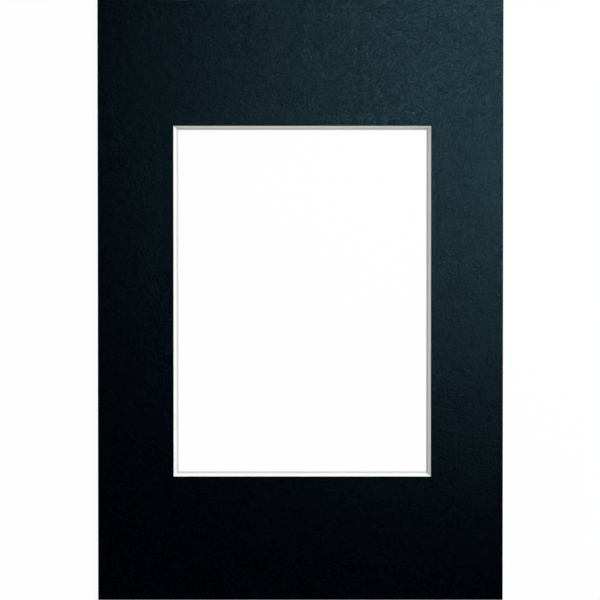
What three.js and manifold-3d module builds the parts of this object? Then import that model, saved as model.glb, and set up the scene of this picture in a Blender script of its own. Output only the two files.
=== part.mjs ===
// A ready-cut picture mount: a sheet of white-cored board faced with black paper, with a
// bevelled window that frames a print behind it.
// Millimetres, +Z up. The mount lies on its back, face up. The origin is the centre of the
// back face, +X points to the right edge and +Y to the top edge.

import * as THREE from "three";
import { mergeVertices } from "three/addons/utils/BufferGeometryUtils.js";
import Module from "manifold-3d";

// Board: cut to the rebate of a standard frame
const BOARD_WIDTH = 200;
const BOARD_HEIGHT = 300;
const CORE_THICKNESS = 1.5;
const FACING_THICKNESS = 0.15;

// Print: the window is smaller than the print, so the board laps over the print's edges
const PRINT_WIDTH = 130;
const PRINT_HEIGHT = 180;
const SIDE_LAP = 3;
const END_LAP = 4;

// Window: cut right through from the face, its sides leaning outwards towards the face
const BEVEL_DEGREES = 45;
const WINDOW_SHIFT_RIGHT = 0.9;
const WINDOW_SHIFT_UP = -0.6;

// Cutter: the swept solid stands this far past the back and the face, for a clean cut
const CUTTER_OVERRUN = 1;

const CORE_WHITE = 0xf4f3ee;
const CORE_ROUGHNESS = 0.9;
const FACING_BLACK = 0x070c12;
const FACING_ROUGHNESS = 0.6;

const boardThickness = CORE_THICKNESS + FACING_THICKNESS;
const sightWidth = PRINT_WIDTH - 2 * SIDE_LAP;
const sightHeight = PRINT_HEIGHT - 2 * END_LAP;
const bevelRun = Math.tan(THREE.MathUtils.degToRad(BEVEL_DEGREES));

const wasm = await Module();
wasm.setup();

// A rectangle centred on the given point
function rectangle(width, height, centreX, centreY) {
  const left = centreX - width / 2;
  const bottom = centreY - height / 2;
  const outline = new THREE.Shape();
  outline.moveTo(left, bottom);
  outline.lineTo(left + width, bottom);
  outline.lineTo(left + width, bottom + height);
  outline.lineTo(left, bottom + height);
  outline.closePath();
  return outline;
}

// A closed geometry as a solid that can be cut
function toSolid(geometry) {
  const bare = geometry.clone();
  bare.deleteAttribute("normal");
  bare.deleteAttribute("uv");
  const merged = mergeVertices(bare);
  return new wasm.Manifold(new wasm.Mesh({
    numProp: 3,
    vertProperties: merged.attributes.position.array,
    triVerts: Uint32Array.from(merged.index.array),
  }));
}

// A cut solid as a flat-shaded geometry
function toGeometry(solid) {
  const mesh = solid.getMesh();
  const shared = new THREE.BufferGeometry();
  shared.setAttribute("position", new THREE.BufferAttribute(mesh.vertProperties, 3));
  shared.setIndex(new THREE.BufferAttribute(mesh.triVerts, 1));
  const faceted = shared.toNonIndexed();
  faceted.computeVertexNormals();
  return faceted;
}

// An uncut ply of the board, its back at z = 0
function plyBlank(thickness) {
  const outline = rectangle(BOARD_WIDTH, BOARD_HEIGHT, 0, 0);
  return new THREE.ExtrudeGeometry(outline, { depth: thickness, bevelEnabled: false });
}

// What the leaning blade takes out in its four strokes. The outline starts under the back
// face and grows at the bevel's slope until it is above the face, so the four slopes meet in
// mitres at the corners and pass the sight size exactly at the back face, z = 0.
function windowCutter() {
  const sweep = boardThickness + 2 * CUTTER_OVERRUN;
  const startWidth = sightWidth - 2 * CUTTER_OVERRUN * bevelRun;
  const startHeight = sightHeight - 2 * CUTTER_OVERRUN * bevelRun;
  const outline = rectangle(startWidth, startHeight, WINDOW_SHIFT_RIGHT, WINDOW_SHIFT_UP);
  const cutter = new THREE.ExtrudeGeometry(outline, {
    depth: CUTTER_OVERRUN,
    bevelThickness: sweep,
    bevelSize: sweep * bevelRun,
    bevelSegments: 1,
  });
  return cutter.translate(0, 0, sweep - CUTTER_OVERRUN);
}

// One ply with the window cut in it. The same cutter passes through both plies, so their
// bevels run on in one slope.
function cutPly(name, back, thickness, material) {
  const blank = toSolid(plyBlank(thickness));
  const cutter = toSolid(windowCutter().translate(0, 0, -back));
  const ply = new THREE.Mesh(toGeometry(blank.subtract(cutter)), material);
  ply.name = name;
  ply.position.z = back;
  return ply;
}

// The white board that gives the mount its stiffness and shows as the bright bevel
function boardCore() {
  const material = new THREE.MeshStandardMaterial({
    color: CORE_WHITE,
    roughness: CORE_ROUGHNESS,
    metalness: 0,
  });
  return cutPly("board_core", 0, CORE_THICKNESS, material);
}

// The black paper glued over the whole face of the core
function facingPaper() {
  const material = new THREE.MeshStandardMaterial({
    color: FACING_BLACK,
    roughness: FACING_ROUGHNESS,
    metalness: 0,
  });
  return cutPly("facing_paper", CORE_THICKNESS, FACING_THICKNESS, material);
}

const pictureMount = new THREE.Group();
pictureMount.add(boardCore(), facingPaper());

export default pictureMount;
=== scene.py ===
import math

import bpy
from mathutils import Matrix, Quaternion, Vector


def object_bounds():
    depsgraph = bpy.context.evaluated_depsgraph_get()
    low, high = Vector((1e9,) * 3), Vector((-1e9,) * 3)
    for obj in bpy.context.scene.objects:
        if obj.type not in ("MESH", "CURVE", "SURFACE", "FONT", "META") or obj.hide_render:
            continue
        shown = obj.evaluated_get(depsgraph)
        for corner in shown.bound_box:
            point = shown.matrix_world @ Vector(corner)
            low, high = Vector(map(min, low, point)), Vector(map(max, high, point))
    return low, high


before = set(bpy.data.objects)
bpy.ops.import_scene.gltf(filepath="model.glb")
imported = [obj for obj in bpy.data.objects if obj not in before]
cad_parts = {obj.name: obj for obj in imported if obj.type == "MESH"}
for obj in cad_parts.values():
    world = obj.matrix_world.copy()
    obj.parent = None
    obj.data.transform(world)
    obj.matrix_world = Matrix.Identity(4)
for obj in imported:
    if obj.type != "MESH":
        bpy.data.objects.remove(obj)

cad_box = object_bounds()

# Board core
# A stiff sheet of white wood pulp in thin plies, lined at the back with white paper. The window
# is cut through it with a leaning blade, so the pulp shows as a bright bevel all round, and as
# a thin white line at the trimmed outer edges.
PULP_WHITE = (0.885, 0.905, 0.87, 1)
PULP_SHADE = (0.82, 0.84, 0.785, 1)
PULP_ROUGHNESS = 0.9
PULP_SHINE = 0.2
LINING_WHITE = (0.85, 0.855, 0.81, 1)
BACK_FACING = -0.9
STREAKS_PER_M = 5200
STREAK_DETAIL = 3
STREAK_STRETCH = (0.012, 0.012, 1)
STREAK_SHADE_AT = 0.3
STREAK_WHITE_AT = 0.7
STREAK_DEPTH = 0.00002
PULP_TOOTH_PER_M = 2600
PULP_TOOTH_DETAIL = 4
PULP_TOOTH_DEPTH = 0.00002


def new_material(name):
    """An empty node material, with its tree, shader and object coordinates"""
    material = bpy.data.materials.new(name)
    material.use_nodes = True
    tree = material.node_tree
    tree.nodes.clear()
    output = tree.nodes.new("ShaderNodeOutputMaterial")
    shader = tree.nodes.new("ShaderNodeBsdfPrincipled")
    place = tree.nodes.new("ShaderNodeTexCoord").outputs["Object"]
    tree.links.new(shader.outputs[0], output.inputs["Surface"])
    return material, tree, shader, place


def math_node(tree, operation, first, second=0.0, third=0.0):
    """One sum on two or three values, each a number or another node's output"""
    node = tree.nodes.new("ShaderNodeMath")
    node.operation = operation
    for socket, value in zip(node.inputs, (first, second, third)):
        if isinstance(value, (int, float)):
            socket.default_value = value
        else:
            tree.links.new(value, socket)
    return node.outputs[0]


def noise(tree, place, per_metre, detail, stretch=(1, 1, 1)):
    """Cloudy values around 0.5, with features about a metre over per_metre across"""
    mapping = tree.nodes.new("ShaderNodeMapping")
    mapping.inputs["Scale"].default_value = stretch
    texture = tree.nodes.new("ShaderNodeTexNoise")
    texture.inputs["Scale"].default_value = per_metre
    texture.inputs["Detail"].default_value = detail
    tree.links.new(place, mapping.inputs["Vector"])
    tree.links.new(mapping.outputs[0], texture.inputs["Vector"])
    return texture.outputs["Fac"]


def colour_between(tree, factor, low, high, start, end):
    """Blends from the low colour to the high one as the factor goes from start to end"""
    ramp = tree.nodes.new("ShaderNodeValToRGB")
    ramp.color_ramp.elements[0].position = start
    ramp.color_ramp.elements[0].color = low
    ramp.color_ramp.elements[1].position = end
    ramp.color_ramp.elements[1].color = high
    tree.links.new(factor, ramp.inputs["Fac"])
    return ramp.outputs["Color"]


def relief(tree, height, depth, onto=None):
    """Bumps of the given depth in metres, on top of an earlier relief"""
    bump = tree.nodes.new("ShaderNodeBump")
    bump.inputs["Distance"].default_value = depth
    tree.links.new(height, bump.inputs["Height"])
    if onto:
        tree.links.new(onto, bump.inputs["Normal"])
    return bump.outputs["Normal"]


def pulp_board():
    """Streaky where it is cut, and plain lining paper on the face that looks down"""
    material, tree, shader, place = new_material("white_pulp_board")
    streaks = noise(tree, place, STREAKS_PER_M, STREAK_DETAIL, STREAK_STRETCH)
    tooth = noise(tree, place, PULP_TOOTH_PER_M, PULP_TOOTH_DETAIL)
    cut_colour = colour_between(tree, streaks, PULP_SHADE, PULP_WHITE, STREAK_SHADE_AT, STREAK_WHITE_AT)
    facing = tree.nodes.new("ShaderNodeSeparateXYZ")
    geometry = tree.nodes.new("ShaderNodeNewGeometry")
    tree.links.new(geometry.outputs["Normal"], facing.inputs[0])
    at_back = math_node(tree, "LESS_THAN", facing.outputs["Z"], BACK_FACING)
    colour = tree.nodes.new("ShaderNodeMix")
    colour.data_type = "RGBA"
    colour.inputs["B"].default_value = LINING_WHITE
    tree.links.new(at_back, colour.inputs["Factor"])
    tree.links.new(cut_colour, colour.inputs["A"])
    tree.links.new(colour.outputs["Result"], shader.inputs["Base Color"])
    shader.inputs["Roughness"].default_value = PULP_ROUGHNESS
    shader.inputs["Specular IOR Level"].default_value = PULP_SHINE
    grooves = relief(tree, streaks, STREAK_DEPTH)
    tree.links.new(relief(tree, tooth, PULP_TOOTH_DEPTH, grooves), shader.inputs["Normal"])
    return material


def finish_node(node, material):
    """Gives a solid of the frame its real finish"""
    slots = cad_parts[node].data.materials
    slots.clear()
    slots.append(material)


finish_node("board_core", pulp_board())

# Facing paper
# Thin black paper, dyed right through and glued all over the core. It has a fine tooth, is a
# little cloudy, and shines blue-green where light glances off its fibres.
FACING_BLACK = (0, 0, 0.0008, 1)
FACING_FIBRE = (0.0013, 0.0025, 0.0060, 1)
FIBRES_END = 0.40
GAPS_START = 0.58
FACING_SHEEN = (0.32, 0.78, 0.92, 1)
FACING_SHINE = 0.05
FACING_ROUGHNESS = 0.30
TOOTH_PER_M = 1000
TOOTH_DETAIL = 3
TOOTH_DEPTH = 0.0002
TOOTH_GLOSS = 0.22
CLOUDS_PER_M = 300
CLOUD_DETAIL = 3
CLOUD_DEPTH = 0.0003
CLOUD_GLOSS = 0.2


def black_paper():
    """Fibres that are lighter and smoother than the gaps between them"""
    material, tree, shader, place = new_material("black_facing_paper")
    tooth = noise(tree, place, TOOTH_PER_M, TOOTH_DETAIL)
    clouds = noise(tree, place, CLOUDS_PER_M, CLOUD_DETAIL)
    colour = colour_between(tree, tooth, FACING_FIBRE, FACING_BLACK, FIBRES_END, GAPS_START)
    tree.links.new(colour, shader.inputs["Base Color"])
    smoothest = FACING_ROUGHNESS - (TOOTH_GLOSS + CLOUD_GLOSS) / 2
    roughness = math_node(tree, "MULTIPLY_ADD", tooth, TOOTH_GLOSS, smoothest)
    roughness = math_node(tree, "MULTIPLY_ADD", clouds, CLOUD_GLOSS, roughness)
    tree.links.new(roughness, shader.inputs["Roughness"])
    shader.inputs["Specular IOR Level"].default_value = FACING_SHINE
    shader.inputs["Specular Tint"].default_value = FACING_SHEEN
    felting = relief(tree, clouds, CLOUD_DEPTH)
    tree.links.new(relief(tree, tooth, TOOTH_DEPTH, felting), shader.inputs["Normal"])
    return material


finish_node("facing_paper", black_paper())

# Floor
# A smooth white table top under the mount. It shows plain white in the picture, with a faint
# shadow round the mount. A narrow rim along the window's edges is left without glow, which
# paints a darker band of shade there, on top of the real shadow at the foot of the bevel.
FLOOR_SIZE = 6
FLOOR_WHITE = 0.9
FLOOR_ROUGHNESS = 0.9
WHITENED_SHARE = 0.9
WHITENED_GLOW = 0.925
SHADE_RIM_WIDTH = 0.0008
SHADE_RIM_BLUR = 0.0004
SAME_PLACE = 1e-6


def window_at_back():
    """The lowest and highest corner of the opening in the back face"""
    low, high = cad_box
    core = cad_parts["board_core"].data
    ring = [v.co for v in core.vertices
            if v.co.z < low.z + SAME_PLACE and low.x + SAME_PLACE < v.co.x < high.x - SAME_PLACE]
    corner_low = Vector((min(p.x for p in ring), min(p.y for p in ring), low.z))
    corner_high = Vector((max(p.x for p in ring), max(p.y for p in ring), low.z))
    return corner_low, corner_high


def blend_value(tree, factor, start, end, low, high):
    """Goes from the low value to the high one as the factor goes from start to end"""
    node = tree.nodes.new("ShaderNodeMapRange")
    for name, value in (("From Min", start), ("From Max", end), ("To Min", low), ("To Max", high)):
        node.inputs[name].default_value = value
    tree.links.new(factor, node.inputs["Value"])
    return node.outputs[0]


def seen_itself(tree):
    """1 for light that comes straight to the camera, or by way of gloss or glass, and 0 for the rest"""
    path = tree.nodes.new("ShaderNodeLightPath")
    seen = math_node(tree, "MAXIMUM", path.outputs["Is Camera Ray"], path.outputs["Is Glossy Ray"])
    return math_node(tree, "MAXIMUM", seen, path.outputs["Is Transmission Ray"])


def depth_into_window(tree, place):
    """How far a point lies inside the opening's edge, in metres"""
    low, high = window_at_back()
    centre, half = (low + high) / 2, (high - low) / 2
    split = tree.nodes.new("ShaderNodeSeparateXYZ")
    tree.links.new(place, split.inputs[0])
    depths = []
    for axis in range(2):
        off_centre = math_node(tree, "SUBTRACT", split.outputs[axis], centre[axis])
        depths.append(math_node(tree, "SUBTRACT", half[axis], math_node(tree, "ABSOLUTE", off_centre)))
    return math_node(tree, "MINIMUM", depths[0], depths[1])


def white_table():
    """Mostly glow where it is seen itself, so that only a little of each shadow is left, and no glow in
    a rim along the window's edges, which paints a darker band of shade there
    """
    material, tree, shader, place = new_material("white_table_top")
    depth = depth_into_window(tree, place)
    # Painted shade: within the rim along the window's edges the glow is left off, so the floor shows as
    # a darker band there, partly real shadow at the bevel's foot
    past_shade_rim = blend_value(tree, depth, SHADE_RIM_WIDTH - SHADE_RIM_BLUR / 2, SHADE_RIM_WIDTH + SHADE_RIM_BLUR / 2, 0, 1)
    under_board = math_node(tree, "LESS_THAN", depth, 0)
    whitened = math_node(tree, "MAXIMUM", past_shade_rim, under_board)
    share = math_node(tree, "MULTIPLY", whitened, seen_itself(tree))
    albedo = blend_value(tree, share, 0, 1, FLOOR_WHITE, FLOOR_WHITE * (1 - WHITENED_SHARE))
    tree.links.new(albedo, shader.inputs["Base Color"])
    shader.inputs["Emission Color"].default_value = (1, 1, 1, 1)
    glow = math_node(tree, "MULTIPLY", share, WHITENED_GLOW)
    tree.links.new(glow, shader.inputs["Emission Strength"])
    shader.inputs["Roughness"].default_value = FLOOR_ROUGHNESS
    shader.inputs["Specular IOR Level"].default_value = 0
    return material


bpy.ops.object.select_all(action="DESELECT")
bpy.ops.mesh.primitive_plane_add(size=FLOOR_SIZE)
floor = bpy.context.object
floor.name = "table_top"
floor.data.materials.append(white_table())

# Camera
# The board is seen from almost straight above through a very long lens, so its edges stay
# parallel. The camera leans back a little over the top edge, which is why the lower bevel
# shows wider than the upper one.
BOARD_WIDTH_IN_PHOTO = 405.3
PHOTO_WIDTH = 600
BOARD_CENTRE_IN_PHOTO = (300.43, 300.0)
CAMERA_LEAN = math.radians(8.8)
LENS_MM = 1300
SENSOR_MM = 36
NEAREST_SEEN = 0.1

board_low, board_high = cad_box
pixel = (board_high.x - board_low.x) / BOARD_WIDTH_IN_PHOTO
camera_distance = pixel * PHOTO_WIDTH * LENS_MM / SENSOR_MM
towards_camera = Vector((0, math.sin(CAMERA_LEAN), math.cos(CAMERA_LEAN)))
camera_aim = (board_low + board_high) / 2
camera_aim.x -= (BOARD_CENTRE_IN_PHOTO[0] - PHOTO_WIDTH / 2) * pixel
camera_aim.y += (BOARD_CENTRE_IN_PHOTO[1] - PHOTO_WIDTH / 2) * pixel

camera_data = bpy.data.cameras.new("photo_camera")
camera_data.lens = LENS_MM
camera_data.sensor_width = SENSOR_MM
camera_data.clip_start = NEAREST_SEEN
camera_data.clip_end = 2 * camera_distance
camera = bpy.data.objects.new("photo_camera", camera_data)
camera.location = camera_aim + towards_camera * camera_distance
camera.rotation_euler = (-CAMERA_LEAN, 0, 0)
bpy.context.collection.objects.link(camera)
bpy.context.scene.camera = camera
bpy.context.scene.view_settings.view_transform = "Standard"

# Light
# White walls light the mount from low down, under a dark ceiling that keeps the paper black. A
# softbox at the upper right lights the left and lower bevels. A gridded one, hung where the
# paper mirrors it to the camera, only puts the shine on the upper right corner.
WALL_LIGHT = 1.75
NEAR_WALL_EXTRA = 0.15
WALLS_END = 0.45
CEILING_STARTS = 0.82
KEY_AZIMUTH = math.radians(43)
KEY_ELEVATION = math.radians(25)
KEY_DISTANCE = 1.6
KEY_SIZE = 0.2
KEY_WATTS = 20.5
SHINE_AIM = Vector((0.188, 0.170, 0))
SHINE_DISTANCE = 1.2
SHINE_LENGTH = 0.35
SHINE_WIDTH = 0.356
SHINE_TURN = math.radians(-7)
SHINE_BEAM = math.radians(17.5)
SHINE_WATTS = 0.64


def add_light(name, place, aim, width, length, watts, beam=math.pi, turn=0):
    """A softbox that isn't seen itself. A beam under 180 degrees stands for its grid"""
    data = bpy.data.lights.new(name, "AREA")
    data.shape = "RECTANGLE"
    data.size = width
    data.size_y = length
    data.energy = watts
    data.spread = beam
    light = bpy.data.objects.new(name, data)
    light.location = place
    facing = (aim - place).to_track_quat("-Z", "Y") @ Quaternion((0, 0, 1), turn)
    light.rotation_euler = facing.to_euler()
    light.visible_camera = False
    bpy.context.collection.objects.link(light)
    return light


def mix_values(tree, factor, first, second):
    """Goes from the first value to the second as the factor goes from 0 to 1"""
    node = tree.nodes.new("ShaderNodeMix")
    for name, value in (("Factor", factor), ("A", first), ("B", second)):
        tree.links.new(value, node.inputs[name])
    return node.outputs["Result"]


key_direction = Vector((math.cos(KEY_AZIMUTH) * math.cos(KEY_ELEVATION),
                        math.sin(KEY_AZIMUTH) * math.cos(KEY_ELEVATION),
                        math.sin(KEY_ELEVATION)))
key = add_light("key_softbox", key_direction * KEY_DISTANCE, Vector(), KEY_SIZE, KEY_SIZE, KEY_WATTS)
key.visible_glossy = False
mirrored_view = towards_camera * Vector((-1, -1, 1))
shine = add_light("shine_softbox", SHINE_AIM + mirrored_view * SHINE_DISTANCE, SHINE_AIM,
                  SHINE_WIDTH, SHINE_LENGTH, SHINE_WATTS, SHINE_BEAM, SHINE_TURN)
shine.visible_diffuse = False

world = bpy.data.worlds.new("studio")
world.use_nodes = True
bpy.context.scene.world = world
world_tree = world.node_tree
direction = world_tree.nodes.new("ShaderNodeSeparateXYZ")
world_place = world_tree.nodes.new("ShaderNodeTexCoord").outputs["Generated"]
world_tree.links.new(world_place, direction.inputs[0])
walls = blend_value(world_tree, direction.outputs["Z"], 0, CEILING_STARTS, WALL_LIGHT, 0)
near_side = blend_value(world_tree, direction.outputs["Y"], -1, 0, 1 + NEAR_WALL_EXTRA, 1)
walls = math_node(world_tree, "MULTIPLY", walls, near_side)
white_walls = blend_value(world_tree, direction.outputs["Z"], WALLS_END, CEILING_STARTS, 1, 0)
seen_walls = mix_values(world_tree, seen_itself(world_tree), walls, white_walls)
background = world_tree.nodes["Background"]
background.inputs["Color"].default_value = (1, 1, 1, 1)
world_tree.links.new(seen_walls, background.inputs["Strength"])
